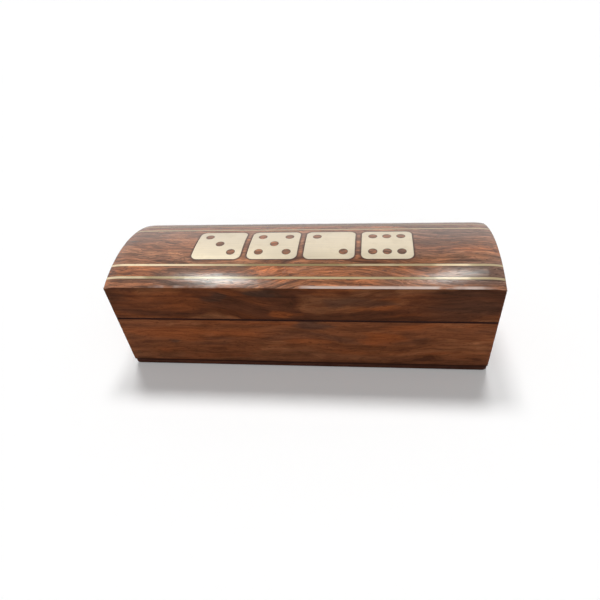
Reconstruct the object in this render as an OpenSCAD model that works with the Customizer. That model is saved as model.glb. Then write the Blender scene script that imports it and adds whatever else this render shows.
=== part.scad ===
// Dice box with a hinged, domed lid, in mitred rosewood with brass inlay.
// Millimetres. The origin is the centre of the footprint on the table, X runs along the box,
// the front faces -Y and Z is up. The lid turns about the hinge pins behind the back wall.

/* [Box] */
// Length of the box
box_l = 152; // [130:1:180]
// Width of the box, front to back
box_w = 48; // [44:1:60]
// Height of the tray, from the table to the seam
tray_h = 26.5; // [20:0.5:40]
// Height of the lid's straight sides, from the seam to the edge of the dome
lid_side_h = 15.7; // [14:0.1:26]
// Thickness of the tray's and lid's walls
wall_t = 7; // [6.5:0.5:9]
// Radius of the four upright corners of the walls and the dome
corner_r = 0.6; // [0.5:0.1:2]
// Width of the bevel on the edges of each rim, which makes the seam's dark line
rim_bevel = 0.25; // [0.2:0.05:0.4]

/* [Base plate] */
// Thickness of the plate that closes the tray
base_t = 3; // [2.5:0.25:5]
// Radius of the plate's rounded lower edge
base_edge_r = 1.2; // [0.5:0.1:1.5]
// Radius of the plate's four corners
plate_corner_r = 1.8; // [1.6:0.1:3]

/* [Domed top] */
// Height of the dome's crown above its edges
dome_rise = 4.6; // [4:0.1:7]
// Thickness of the domed plank at its front and back edges
plank_edge_t = 4; // [3.5:0.5:6]
// Radius of the dome's eased edges, all round
top_edge_r = 0.5; // [0.3:0.1:1.4]
// Radius of the arc along which the dome's surface rolls down at its two ends
end_roll_r = 30; // [26:1:32]
// Length of each roll
end_roll_l = 6; // [4:0.5:6.5]

/* [Brass lines] */
// Width of a line
line_w = 1; // [0.6:0.1:1.6]
// Depth of a line below the surface of the dome
line_depth = 1.5; // [1.4:0.1:1.8]
// Distance of an outer line's middle from the nearer face of the box
outer_line_in = 4.6; // [3:0.1:6]
// Distance of an inner line's middle from the nearer face of the box
inner_line_in = 10.8; // [9:0.1:12]
// Gap for glue on each side of a line
line_gap = 0.12; // [0.05:0.01:0.2]

/* [Brass tiles] */
// Side of a square tile
tile_side = 20; // [15:0.5:21]
// Distance between the middles of neighbouring tiles
tile_pitch = 22.6; // [22:0.2:28]
// Radius of a tile's corners
tile_corner_r = 2.6; // [1:0.1:4]
// Thickness of a tile at its thinner front and back edges
tile_edge_t = 0.9; // [0.6:0.1:1.4]
// Gap for glue round a tile and round its pips
tile_gap = 0.25; // [0.1:0.05:0.4]
// Diameter of a pip
pip_d = 3.6; // [2.4:0.1:4]
// Distance between neighbouring rows of pips
pip_pitch = 5.6; // [4.6:0.1:5.8]

/* [Hinges] */
// Distance of each hinge's middle from the nearer end of the box
hinge_in = 30; // [20:1:40]
// Length of a hinge along its pin
hinge_l = 20; // [16:0.5:26]
// Diameter of a knuckle
barrel_d = 3.2; // [2.8:0.1:3.6]
// Diameter of the hinge pin
pin_d = 1.6; // [1.2:0.1:1.8]
// Distance from the back face of the box to the middle of the pin
pin_out = 0.7; // [0.4:0.1:1.2]
// Thickness of a leaf
leaf_t = 0.8; // [0.6:0.05:0.9]
// Width of a leaf from the middle of the pin to its free edge
leaf_w = 6.2; // [5.6:0.1:6.4]
// Depth of each leaf's face below the rim that it is let into
leaf_sink = 0.1; // [0.05:0.05:0.2]
// Running clearance of a lid knuckle round the pin, on the radius
pin_clear = 0.04; // [0.02:0.01:0.08]
// Gap between neighbouring knuckles
knuckle_gap = 0.16; // [0.1:0.02:0.3]
// Clearance of the wood round the knuckles and the leaf's sides
mortise_clear = 0.25; // [0.15:0.05:0.35]

/* [Screws] */
// Diameter of a screw's shank
screw_d = 1.5; // [1.2:0.1:1.6]
// Diameter of a screw's countersunk head
screw_head_d = 2.9; // [2.6:0.1:3]
// Length of a screw, head included
screw_l = 6; // [5:0.5:8]
// Distance of a screw from the nearer end of the leaf
screw_end = 3.6; // [3.2:0.1:4.2]
// Distance of a screw from the leaf's free edge
screw_in = 2.3; // [2:0.1:2.5]
// Width and depth of the slot in a screw's head
screw_slot = 0.35; // [0.25:0.05:0.45]

/* [Hidden] */
$fn = 96;

rosewood = [0.36, 0.17, 0.10];
dome_wood = [0.47, 0.25, 0.15];
brass = [0.85, 0.78, 0.62];
hinge_brass = [0.72, 0.56, 0.30];

// Heights of the dome's edge and crown, and the circle that its section is cut from
dome_edge_z = tray_h + lid_side_h;
crown_z = dome_edge_z + dome_rise;
plank_z = dome_edge_z - plank_edge_t;
dome_r = (pow(box_w / 2, 2) + pow(dome_rise, 2)) / (2 * dome_rise);
dome_axis_z = crown_z - dome_r;

// Height of the dome's surface at a distance y from the middle of the box
function dome_z(y) = dome_axis_z + sqrt(dome_r * dome_r - y * y);

outer_line_y = box_w / 2 - outer_line_in;
inner_line_y = box_w / 2 - inner_line_in;
tile_floor_z = dome_z(tile_side / 2) - tile_edge_t;

// Pips of each tile, in steps of pip_pitch from its middle
corner_pips = [[-1, -1], [1, 1], [-1, 1], [1, -1]];
pips_two = [[-1, 1], [1, -1]];
pips_three = [[-1, 1], [0, 0], [1, -1]];
pips_five = concat(corner_pips, [[0, 0]]);
pips_six = concat(corner_pips, [[0, -1], [0, 1]]);
tiles = [pips_three, pips_five, pips_two, pips_six];

// Place of the hinge pins, and the knuckles: those of the tray's leaf have even numbers
hinge_x = box_l / 2 - hinge_in;
pin_y = box_w / 2 + pin_out;
knuckles = 5;
knuckle_step = hinge_l / knuckles;
tray_knuckles = [0, 2, 4];
lid_knuckles = [1, 3];
pin_seat_clear = 0.02;
screw_clear = 0.04;
// What cuts right through a face runs past it by this much
past = 1;

// Shapes

module rounded_rect(l, w, r) {
    square([l - 2 * r, w], center = true);
    square([l, w - 2 * r], center = true);
    for (x = [-1, 1], y = [-1, 1])
        translate([x * (l / 2 - r), y * (w / 2 - r)])
            circle(r);
}

// The outline of the box in plan, between two heights
module box_prism(z0, z1) {
    translate([0, 0, z0])
        linear_extrude(z1 - z0)
            rounded_rect(box_l, box_w, corner_r);
}

// A band of the given section, drawn to the right of the upright axis, swept across the box
module strip(l) {
    rotate([90, 0, 90])
        linear_extrude(l, center = true)
            for (side = [0, 1])
                mirror([side, 0])
                    children();
}

// Half the section of a rim: r wide, from the seam to far_z, bevelled where the rims meet
module rim_section(r, far_z) {
    away = sign(far_z - tray_h);
    polygon([
        [0, far_z], [r, far_z], [r, tray_h + away * rim_bevel], [r - rim_bevel, tray_h], [0, tray_h]
    ]);
}

// Half the section of a hollow: r wide, from the seam past far_z, flaring at the seam
module hollow_section(r, far_z) {
    away = sign(far_z - tray_h);
    polygon([
        [0, far_z + away * past], [r, far_z + away * past], [r, tray_h + away * rim_bevel],
        [r + rim_bevel + past, tray_h - away * past], [0, tray_h - away * past]
    ]);
}

// The middles of the four corners, for corners of radius r
module at_corners(r) {
    for (x = [-1, 1], y = [-1, 1])
        translate([x * (box_l / 2 - r), y * (box_w / 2 - r), 0])
            children();
}

// The four walls as one frame, from the seam to far_z
module wall_frame(far_z) {
    difference() {
        union() {
            strip(box_l - 2 * corner_r)
                rim_section(box_w / 2, far_z);
            rotate([0, 0, 90])
                strip(box_w - 2 * corner_r)
                    rim_section(box_l / 2, far_z);
            at_corners(corner_r)
                rotate_extrude()
                    rim_section(corner_r, far_z);
        }
        intersection() {
            strip(box_l)
                hollow_section(box_w / 2 - wall_t, far_z);
            rotate([0, 0, 90])
                strip(box_w)
                    hollow_section(box_l / 2 - wall_t, far_z);
        }
    }
}

// The frame cut at its mitres: the front (side -1) or the back (side 1)
module long_wall(side, far_z) {
    intersection() {
        wall_frame(far_z);
        linear_extrude(crown_z)
            polygon([
                [-box_l / 2, side * box_w / 2], [box_l / 2, side * box_w / 2],
                [box_l / 2 - box_w / 2, 0], [-box_l / 2 + box_w / 2, 0]
            ]);
    }
}

// The frame cut at its mitres: the left end (side -1) or the right end (side 1)
module end_wall(side, far_z) {
    intersection() {
        wall_frame(far_z);
        linear_extrude(crown_z)
            polygon([
                [side * box_l / 2, -box_w / 2], [side * box_l / 2, box_w / 2],
                [side * (box_l / 2 - box_w / 2), 0]
            ]);
    }
}

// A square from the origin to [w, h] whose far corner is rounded
module eased_square(w, h, r) {
    difference() {
        square([w, h]);
        translate([w - r, h - r])
            difference() {
                square(r + past);
                circle(r);
            }
    }
}

// Section from the dome's axis to its surface, along the box. One end rolls down along an arc
// that touches the surface, and its edge is eased by a circle that touches the arc and the end
module rolled_section() {
    over = end_roll_l - top_edge_r;
    up = sqrt(pow(end_roll_r - top_edge_r, 2) - over * over);
    reach = top_edge_r + past;
    difference() {
        translate([0, -box_l / 2])
            square([dome_r, box_l]);
        translate([dome_r - end_roll_r, box_l / 2 - end_roll_l]) {
            difference() {
                square([end_roll_r + past, end_roll_l + past]);
                circle(end_roll_r, $fn = 240);
            }
            translate([up, over])
                difference() {
                    polygon([
                        [0, 0], [0, reach], [reach, reach], reach / (end_roll_r - top_edge_r) * [up, over]
                    ]);
                    circle(top_edge_r, $fn = 32);
                }
        }
    }
}

// Everything below the dome's surface, as long as the box
module under_dome() {
    translate([0, 0, dome_axis_z])
        rotate([0, 90, 0])
            rotate_extrude($fn = 240)
                intersection() {
                    rolled_section();
                    mirror([0, 1])
                        rolled_section();
                }
}

// What lies outside the eased front or back edge: beyond a circle that touches the upright
// face and the dome
module edge_cut() {
    y = box_w / 2 - top_edge_r;
    up = sqrt(pow(dome_r - top_edge_r, 2) - y * y);
    reach = top_edge_r + past;
    translate([y, dome_axis_z + up])
        difference() {
            polygon([[0, 0], [reach, 0], reach / (dome_r - top_edge_r) * [y, up]]);
            circle(top_edge_r);
        }
}

// A straight bar of section w by h along the box, with its middle at y and its floor at z
module bar(l, w, h, y, z) {
    translate([-l / 2, y - w / 2, z])
        cube([l, w, h]);
}

module rod(l, r) {
    rotate([0, 90, 0])
        cylinder(h = l, r = r, center = true);
}

// Inlays

function line_floor_z(y) = dome_z(y) - line_depth;

module brass_line(y) {
    color(brass)
        intersection() {
            under_dome();
            bar(box_l, line_w, dome_rise, y, line_floor_z(y));
        }
}

module line_groove(y) {
    bar(box_l + 2 * past, line_w + 2 * line_gap, dome_rise, y, line_floor_z(y));
}

module at_tile(i) {
    translate([(i - (len(tiles) - 1) / 2) * tile_pitch, 0, tile_floor_z])
        children();
}

// Upright pegs where a tile has its pips
module pip_pegs(pips, r) {
    for (p = pips)
        translate([p[0] * pip_pitch, p[1] * pip_pitch, -past])
            cylinder(h = dome_rise + past, r = r, $fn = 48);
}

module tile(i) {
    color(brass)
        intersection() {
            under_dome();
            at_tile(i)
                difference() {
                    linear_extrude(dome_rise)
                        rounded_rect(tile_side, tile_side, tile_corner_r);
                    pip_pegs(tiles[i], pip_d / 2);
                }
        }
}

// The pocket leaves a wooden peg standing for each pip
module tile_pocket(i) {
    at_tile(i)
        difference() {
            linear_extrude(dome_rise)
                rounded_rect(tile_side + 2 * tile_gap, tile_side + 2 * tile_gap,
                    tile_corner_r + tile_gap);
            pip_pegs(tiles[i], pip_d / 2 - tile_gap);
        }
}

// Hinges: a leaf is drawn with its pin along X through the origin, its plate towards -Y
// and its face just below the plane of the pin. up = 1 turns it over for the lid.

module at_hinge(side) {
    translate([side * hinge_x, pin_y, tray_h])
        children();
}

module turned_over(up) {
    mirror([0, 0, up])
        children();
}

module at_leaf_screws() {
    for (x = [-1, 1])
        translate([x * (hinge_l / 2 - screw_end), -leaf_w + screw_in, -leaf_sink])
            children();
}

module at_knuckles(numbers) {
    for (k = numbers)
        translate([(k + 0.5) * knuckle_step - hinge_l / 2, 0, 0])
            children();
}

// The screw's outline turned about Z, with its head's face at the origin
module screw_form(clear) {
    head_h = (screw_head_d - screw_d) / 2;
    translate([0, 0, -head_h])
        cylinder(h = head_h, r1 = screw_d / 2 + clear, r2 = screw_head_d / 2 + clear, $fn = 32);
    translate([0, 0, -screw_l - clear])
        cylinder(h = screw_l + clear, r = screw_d / 2 + clear, $fn = 32);
}

module leaf(own, others, bore_clear, up) {
    color(hinge_brass)
        turned_over(up)
            difference() {
                union() {
                    translate([-hinge_l / 2, -leaf_w, -leaf_sink - leaf_t])
                        cube([hinge_l, leaf_w, leaf_t]);
                    at_knuckles(own)
                        rod(knuckle_step - knuckle_gap, barrel_d / 2);
                }
                // Notches for the other leaf's knuckles
                at_knuckles(others)
                    translate([-(knuckle_step + knuckle_gap) / 2, -barrel_d / 2 - mortise_clear, -barrel_d])
                        cube([knuckle_step + knuckle_gap, barrel_d, 2 * barrel_d]);
                rod(hinge_l + 2 * past, pin_d / 2 + bore_clear);
                at_leaf_screws() {
                    screw_form(screw_clear);
                    cylinder(h = barrel_d, r = screw_head_d / 2 + screw_clear, $fn = 32);
                }
            }
}

// The room that a hinge needs in the rim of the tray (up = 0) or of the lid (up = 1)
module hinge_mortise(up) {
    turned_over(up) {
        translate([-hinge_l / 2 - mortise_clear, -leaf_w - mortise_clear, -leaf_sink - leaf_t])
            cube([hinge_l + 2 * mortise_clear, leaf_w + mortise_clear, leaf_sink + leaf_t + past]);
        rod(hinge_l + 2 * mortise_clear, barrel_d / 2 + mortise_clear);
        at_leaf_screws()
            screw_form(screw_clear);
    }
}

module leaf_screws(up) {
    color(hinge_brass)
        for (side = [-1, 1])
            at_hinge(side)
                turned_over(up)
                    at_leaf_screws()
                        difference() {
                            screw_form(0);
                            cube([screw_head_d + past, screw_slot, 2 * screw_slot], center = true);
                        }
}

module hinge_pin(side) {
    color(hinge_brass)
        at_hinge(side)
            rod(hinge_l, pin_d / 2);
}

module hinge_tray_leaf(side) {
    at_hinge(side)
        leaf(tray_knuckles, lid_knuckles, pin_seat_clear, 0);
}

module hinge_lid_leaf(side) {
    at_hinge(side)
        leaf(lid_knuckles, tray_knuckles, pin_clear, 1);
}

// Tray

module front_wall() {
    color(rosewood)
        long_wall(-1, base_t);
}

module back_wall() {
    color(rosewood)
        difference() {
            long_wall(1, base_t);
            for (side = [-1, 1])
                at_hinge(side)
                    hinge_mortise(0);
        }
}

module left_end() {
    color(rosewood)
        end_wall(-1, base_t);
}

module right_end() {
    color(rosewood)
        end_wall(1, base_t);
}

// Half the section of the plate: r wide, with its lower outer edge rounded
module plate_section(r) {
    translate([0, base_t])
        mirror([0, 1])
            eased_square(r, base_t, base_edge_r);
}

module base_plate() {
    color(rosewood) {
        strip(box_l - 2 * plate_corner_r)
            plate_section(box_w / 2);
        rotate([0, 0, 90])
            strip(box_w - 2 * plate_corner_r)
                plate_section(box_l / 2);
        at_corners(plate_corner_r)
            rotate_extrude()
                plate_section(plate_corner_r);
    }
}

// Lid

module lid_front_rail() {
    color(rosewood)
        long_wall(-1, plank_z);
}

module lid_back_rail() {
    color(rosewood)
        difference() {
            long_wall(1, plank_z);
            for (side = [-1, 1])
                at_hinge(side)
                    hinge_mortise(1);
        }
}

module lid_left_end() {
    color(rosewood)
        end_wall(-1, plank_z);
}

module lid_right_end() {
    color(rosewood)
        end_wall(1, plank_z);
}

module domed_top() {
    color(dome_wood)
        difference() {
            intersection() {
                box_prism(plank_z, crown_z + past);
                under_dome();
            }
            strip(box_l + 2 * past)
                edge_cut();
            for (y = [outer_line_y, inner_line_y], side = [-1, 1])
                line_groove(side * y);
            for (i = [0 : len(tiles) - 1])
                tile_pocket(i);
        }
}

front_wall();
back_wall();
left_end();
right_end();
base_plate();
lid_front_rail();
lid_back_rail();
lid_left_end();
lid_right_end();
domed_top();
brass_line(-outer_line_y);  // line_front_outer
brass_line(-inner_line_y);  // line_front_inner
brass_line(inner_line_y);  // line_back_inner
brass_line(outer_line_y);  // line_back_outer
tile(0);  // tile_three
tile(1);  // tile_five
tile(2);  // tile_two
tile(3);  // tile_six
hinge_tray_leaf(-1);  // left_hinge_tray_leaf
hinge_lid_leaf(-1);  // left_hinge_lid_leaf
hinge_pin(-1);  // left_hinge_pin
hinge_tray_leaf(1);  // right_hinge_tray_leaf
hinge_lid_leaf(1);  // right_hinge_lid_leaf
hinge_pin(1);  // right_hinge_pin
leaf_screws(0);  // tray_leaf_screws
leaf_screws(1);  // lid_leaf_screws
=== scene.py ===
"""Finishes for a dice box with a hinged, domed lid: lacquered rosewood, inlaid brass, brass butt hinges.

Metres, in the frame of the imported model: X runs along the box, the front faces -Y and Z is up.
"""

import math
from collections import namedtuple

import bmesh
import bpy
from bpy.props import FloatProperty, FloatVectorProperty, PointerProperty
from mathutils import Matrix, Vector


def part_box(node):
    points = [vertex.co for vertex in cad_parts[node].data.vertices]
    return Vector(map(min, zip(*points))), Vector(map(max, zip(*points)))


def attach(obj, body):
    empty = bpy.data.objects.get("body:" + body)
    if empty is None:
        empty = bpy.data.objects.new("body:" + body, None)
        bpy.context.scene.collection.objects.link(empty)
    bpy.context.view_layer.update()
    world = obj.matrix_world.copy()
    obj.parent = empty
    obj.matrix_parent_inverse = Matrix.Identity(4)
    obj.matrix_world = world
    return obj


bl_info = {
    "name": "Dice box finishes",
    "version": (1, 0, 0),
    "blender": (4, 5, 0),
    "location": "3D View > Sidebar > Dice box",
    "description": "Rosewood, brass inlay, hinges and studio for a dice box with a hinged lid",
    "category": "Material",
}

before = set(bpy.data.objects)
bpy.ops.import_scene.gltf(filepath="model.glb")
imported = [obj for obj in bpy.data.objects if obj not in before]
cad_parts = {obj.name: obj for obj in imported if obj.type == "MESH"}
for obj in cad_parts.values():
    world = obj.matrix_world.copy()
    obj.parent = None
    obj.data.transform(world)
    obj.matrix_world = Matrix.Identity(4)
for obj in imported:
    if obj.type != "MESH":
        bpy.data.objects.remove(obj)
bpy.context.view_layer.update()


# Sizes and colours

class RosewoodSettings(bpy.types.PropertyGroup):
    """Colours, figure and lacquer of the boards"""

    light: FloatVectorProperty(
        name="Light wood", description="Colour of the palest growth between the veins",
        subtype="COLOR", size=3, min=0, max=1, default=(0.37, 0.165, 0.082))
    middle: FloatVectorProperty(
        name="Middle wood", description="Colour of most of the wood",
        subtype="COLOR", size=3, min=0, max=1, default=(0.285, 0.115, 0.054))
    dark: FloatVectorProperty(
        name="Dark wood", description="Colour of the dark veins",
        subtype="COLOR", size=3, min=0, max=1, default=(0.14, 0.054, 0.030))
    ember: FloatVectorProperty(
        name="Orange figure", description="Colour of the warm patches in the figure",
        subtype="COLOR", size=3, min=0, max=1, default=(0.46, 0.145, 0.045))
    smoke: FloatVectorProperty(
        name="Smoky figure", description="Colour of the dark clouds in the figure",
        subtype="COLOR", size=3, min=0, max=1, default=(0.125, 0.076, 0.058))
    # Rubbed wood: pale rubbed edges, made paler still as a painted highlight along the dome's front edge
    rubbed_and_highlight: FloatVectorProperty(
        name="Rubbed wood", description="Colour of the edges where the lacquer is rubbed off",
        subtype="COLOR", size=3, min=0, max=1, default=(0.62, 0.47, 0.40))
    # Joint line: dust and lacquer in the joints, and also painted shade in the seam between tray and lid
    grime_and_shade: FloatVectorProperty(
        name="Joint line", description="Colour of the dust and lacquer in the joints between the boards",
        subtype="COLOR", size=3, min=0, max=1, default=(0.040, 0.013, 0.009))
    ring_width: FloatProperty(
        name="Ring width", description="Usual width of a band between two veins",
        unit="LENGTH", min=0.001, max=0.02, default=0.0030)
    pore_length: FloatProperty(
        name="Pore length", description="Usual length of an open pore along the grain",
        unit="LENGTH", min=0.0005, max=0.01, default=0.0022)
    satin: FloatProperty(
        name="Satin roughness", description="Roughness of the walls' thin finish",
        subtype="FACTOR", min=0, max=1, default=0.5)
    gloss: FloatProperty(
        name="Gloss roughness", description="Roughness of the dome's thick lacquer",
        subtype="FACTOR", min=0, max=1, default=0.16)


class BrassSettings(bpy.types.PropertyGroup):
    """Colours and wear of the brass"""

    tile: FloatVectorProperty(
        name="Tile brass", description="Colour of the pale tiles",
        subtype="COLOR", size=3, min=0, max=1, default=(0.85, 0.725, 0.54))
    line: FloatVectorProperty(
        name="Line brass", description="Colour of the inlaid lines",
        subtype="COLOR", size=3, min=0, max=1, default=(0.86, 0.69, 0.47))
    hinge: FloatVectorProperty(
        name="Hinge brass", description="Colour of the hinge leaves",
        subtype="COLOR", size=3, min=0, max=1, default=(0.72, 0.52, 0.24))
    pin: FloatVectorProperty(
        name="Pin brass", description="Colour of the hinge pins",
        subtype="COLOR", size=3, min=0, max=1, default=(0.66, 0.47, 0.22))
    screw: FloatVectorProperty(
        name="Screw brass", description="Colour of the screws",
        subtype="COLOR", size=3, min=0, max=1, default=(0.74, 0.56, 0.28))
    # Tarnish: real tarnish, and also the colour of the painted dark reflection along the lines
    tarnish_and_dark_reflection: FloatVectorProperty(
        name="Tarnish", description="Colour of the dull, tarnished parts",
        subtype="COLOR", size=3, min=0, max=1, default=(0.30, 0.215, 0.095))
    roughness: FloatProperty(
        name="Roughness", description="Roughness of brass filed flush, under the lacquer",
        subtype="FACTOR", min=0, max=1, default=0.38)


class GlueSettings(bpy.types.PropertyGroup):
    """Dark glue in the gaps round the inlay, by the sizes of the model's pockets and grooves"""

    colour: FloatVectorProperty(
        name="Glue", description="Colour of the glue, dark with sanding dust",
        subtype="COLOR", size=3, min=0, max=1, default=(0.045, 0.026, 0.017))
    tile_gap: FloatProperty(
        name="Gap round a tile", description="Width of the glue round a tile and its pips",
        unit="LENGTH", min=0.0001, max=0.0004, default=0.00025)
    line_gap: FloatProperty(
        name="Gap beside a line", description="Width of the glue on each side of a line",
        unit="LENGTH", min=0.00005, max=0.0002, default=0.00012)
    sink: FloatProperty(
        name="Sink", description="Depth of the glue's face below the wood",
        unit="LENGTH", min=0, max=0.0003, default=0.00004)
    depth: FloatProperty(
        name="Depth", description="Thickness of the glue",
        unit="LENGTH", min=0.0002, max=0.0008, default=0.0005)
    tile_corner: FloatProperty(
        name="Tile corner", description="Radius of a tile's corners",
        unit="LENGTH", min=0.001, max=0.004, default=0.0026)
    pip_diameter: FloatProperty(
        name="Pip diameter", description="Diameter of a pip's hole in a tile",
        unit="LENGTH", min=0.0024, max=0.004, default=0.0036)
    pip_pitch: FloatProperty(
        name="Pip pitch", description="Distance between neighbouring rows of pips",
        unit="LENGTH", min=0.0046, max=0.0058, default=0.0056)


class DomeSettings(bpy.types.PropertyGroup):
    """Curve of the domed top, by the sizes of the model, for its shading and for the glue on it"""

    rise: FloatProperty(
        name="Rise", description="Height of the dome's crown above its front and back edges",
        unit="LENGTH", min=0.004, max=0.007, default=0.0046)
    easing: FloatProperty(
        name="Easing", description="Radius of the dome's eased edges",
        unit="LENGTH", min=0.0003, max=0.0014, default=0.0005)
    roll_radius: FloatProperty(
        name="Roll radius", description="Radius of the arc along which the dome rolls down at its ends",
        unit="LENGTH", min=0.026, max=0.032, default=0.030)
    roll_length: FloatProperty(
        name="Roll length", description="Length of the roll at each end of the dome",
        unit="LENGTH", min=0.004, max=0.0065, default=0.006)


class StudioSettings(bpy.types.PropertyGroup):
    """Camera, lamps, room and floor"""

    camera_place: FloatVectorProperty(
        name="Camera place", description="Where the camera stands",
        subtype="TRANSLATION", unit="LENGTH", size=3, default=(0.026946, -0.160475, 0.145412))
    camera_turn: FloatVectorProperty(
        name="Camera turn", description="Euler angles of the camera",
        subtype="EULER", unit="ROTATION", size=3,
        default=(math.radians(48.0192), math.radians(3.4783), math.radians(5.0708)))
    lens: FloatProperty(
        name="Lens", description="Focal length for a 36 mm sensor",
        unit="CAMERA", min=10, max=200, default=27.87)
    shift: FloatVectorProperty(
        name="Shift", description="Shift of the view, as shares of the sensor's width",
        size=2, default=(-0.03082, 0.04972))
    sky: FloatProperty(
        name="Sky level", description="Level of the soft light from all round",
        min=0, max=1, default=0.2)
    ceiling: FloatProperty(
        name="Ceiling level", description="Brightness of the ceiling in gloss, where the walls have 1",
        min=0, max=1, default=0.4)
    horizon: FloatProperty(
        name="Horizon level", description="Brightness in gloss of the floor and the foot of the walls",
        min=0, max=1, default=0.55)
    belt: FloatProperty(
        name="Belt level",
        description="Brightness in gloss of the belt between walls and ceiling, in its middle",
        min=0, max=1, default=0.12)
    belt_ends: FloatProperty(
        name="Belt ends level", description="Brightness in gloss of the same belt towards both sides",
        min=0, max=1, default=0.7)
    key: FloatProperty(
        name="Key level", description="Level that the key lamps give on a white card facing them",
        min=0, max=2, default=0.82)
    fill: FloatProperty(
        name="Fill level", description="Level that the fill lamp gives on a white card facing it",
        min=0, max=2, default=0.12)
    glint: FloatProperty(
        name="Glint level", description="Level of the two small lamps that show in the lacquer",
        min=0, max=2, default=0.06)
    edge_glint: FloatProperty(
        name="Edge glint level", description="Level of the lamp that shows along the dome's front edge",
        min=0, max=4, default=0.43)
    floor_colour: FloatVectorProperty(
        name="Floor", description="Colour of the floor",
        subtype="COLOR", size=3, min=0, max=1, default=(0.82, 0.82, 0.82))
    floor_lift: FloatProperty(
        name="Floor lift", description="Level added to the floor's own colour, so that it shows white",
        min=0, max=1, default=0.18)


# Boards: turn and tilt of the grain, its place in the log, the log's heart behind the board, the
# tint of the wood, heights of the joint lines with their strength, sweeps of the grain as (from x,
# to x, move), and clouds of orange or smoky figure as (middle, half sizes, strength).
# Heights, sweeps and clouds are in millimetres, which MM turns into metres

MM = 0.001
Board = namedtuple("Board", "grain shift heart tint joints sweeps embers smokes", defaults=[(), (), ()])

ALONG = (0.0, 0.0, 0.0)
ACROSS = (0.0, 0.0, math.radians(90))
TRAY_TINT = (0.82, 0.66, 0.55)
LID_TINT = (0.60, 0.50, 0.42)
DOME_TINT = (0.95, 0.90, 0.84)
BASE_TINT = (0.34, 0.31, 0.40)
# The joint at 26.5 mm is the seam between tray and lid, darkened as grime and as painted shade of its gap
TRAY_JOINTS = ((26.5, 1.0), (3.0, 0.8))
LID_JOINTS = ((26.5, 1.0), (38.2, 0.3))

BOARDS = {
    "front_wall": Board(
        (0.0, math.radians(0.8), 0.0), (0.31, 0.004, 0.012), (0.0, 0.052, 0.021), TRAY_TINT, TRAY_JOINTS,
        sweeps=[(-8, 24, (0, 0, 3)), (30, 60, (0, 0, -2))],
        embers=[((-45, -24, 19), (32, 6, 4), 0.5), ((31, -24, 17), (9, 6, 4), 0.65),
                ((4, -24, 15), (10, 6, 3), 0.4)],
        smokes=[((2, -24, 24.5), (9, 6, 2.6), 0.8), ((-55, -24, 14), (4, 6, 1.3), 0.7),
                ((0, -24, 4), (90, 6, 4.5), 0.25)]),
    "back_wall": Board(ALONG, (0.55, 0.031, 0.044), (0.0, -0.06, 0.07), TRAY_TINT, TRAY_JOINTS,
                       sweeps=[(-30, 0, (0, 0, 4))]),
    "left_end": Board(ACROSS, (0.12, 0.043, 0.017), (0.0, 0.06, 0.02), TRAY_TINT, TRAY_JOINTS),
    "right_end": Board(ACROSS, (0.83, 0.013, 0.063), (0.0, -0.05, 0.06), TRAY_TINT, TRAY_JOINTS),
    "base_plate": Board(ALONG, (0.71, 0.022, 0.051), (0.0, 0.01, 0.14), BASE_TINT, ((3.0, 0.8),)),
    "lid_front_rail": Board(
        (0.0, math.radians(-1.1), 0.0), (0.93, 0.026, 0.008), (0.0, 0.075, 0.05), LID_TINT, LID_JOINTS,
        sweeps=[(-38, -6, (0, 0, 6)), (14, 44, (0, 0, -4))],
        embers=[((-5, -24, 29.5), (8, 6, 2), 0.7), ((33, -24, 33.5), (7, 6, 2.2), 0.7),
                ((-54, -24, 36), (24, 6, 6), 0.5)],
        smokes=[((-9, -24, 39.6), (9, 6, 1.8), 0.85), ((22, -24, 36), (18, 6, 2.6), 0.6),
                ((-31, -24, 38), (5, 6, 2), 0.65), ((62, -24, 35), (22, 6, 9), 0.4)]),
    "lid_back_rail": Board(ALONG, (0.27, 0.047, 0.033), (0.0, -0.04, 0.08), LID_TINT, LID_JOINTS,
                           sweeps=[(0, 36, (0, 0, 4))]),
    "lid_left_end": Board(ACROSS, (0.44, 0.011, 0.029), (0.0, 0.06, 0.05), LID_TINT, LID_JOINTS),
    "lid_right_end": Board(ACROSS, (0.65, 0.037, 0.009), (0.0, -0.03, 0.07), LID_TINT, LID_JOINTS),
    "domed_top": Board(
        (0.0, 0.0, math.radians(2.0)), (0.17, 0.018, 0.027), (0.0, 0.02, -0.01), DOME_TINT, (),
        sweeps=[(-24, 10, (0, -9, 0)), (26, 52, (0, 4, 0))],
        embers=[((-13, -17, 44), (13, 4, 6), 0.85), ((12, -20, 44), (20, 6, 6), 0.45),
                ((36, -16, 44), (12, 3, 6), 0.55), ((-14, 3, 47), (9, 5, 5), 0.45),
                ((-26, -22, 43), (5, 3, 4), 0.8), ((-62, -16, 44), (14, 4, 6), 0.5)],
        smokes=[((-40, -10, 46), (14, 2, 5), 0.35), ((44, -4, 46), (20, 8, 5), 0.5),
                ((70, -16, 44), (17, 9, 6), 0.75), ((-36, -20, 44), (22, 5, 5), 0.5),
                ((-64, 10, 46), (14, 8, 5), 0.25), ((60, 10, 46), (26, 10, 5), 0.6),
                ((0, 22, 44), (90, 4, 5), 0.6)]),
}

TRAY_BOARDS = ("front_wall", "back_wall", "left_end", "right_end")
LID_BOARDS = ("lid_front_rail", "lid_back_rail", "lid_left_end", "lid_right_end")
LINES = ("line_front_outer", "line_front_inner", "line_back_inner", "line_back_outer")

# Pips of each tile, in steps of the pip pitch from its middle
CORNER_PIPS = [(-1, -1), (1, 1), (-1, 1), (1, -1)]
TILE_PIPS = {
    "tile_three": [(-1, 1), (0, 0), (1, -1)],
    "tile_five": CORNER_PIPS + [(0, 0)],
    "tile_two": [(-1, 1), (1, -1)],
    "tile_six": CORNER_PIPS + [(0, -1), (0, 1)],
}
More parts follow.
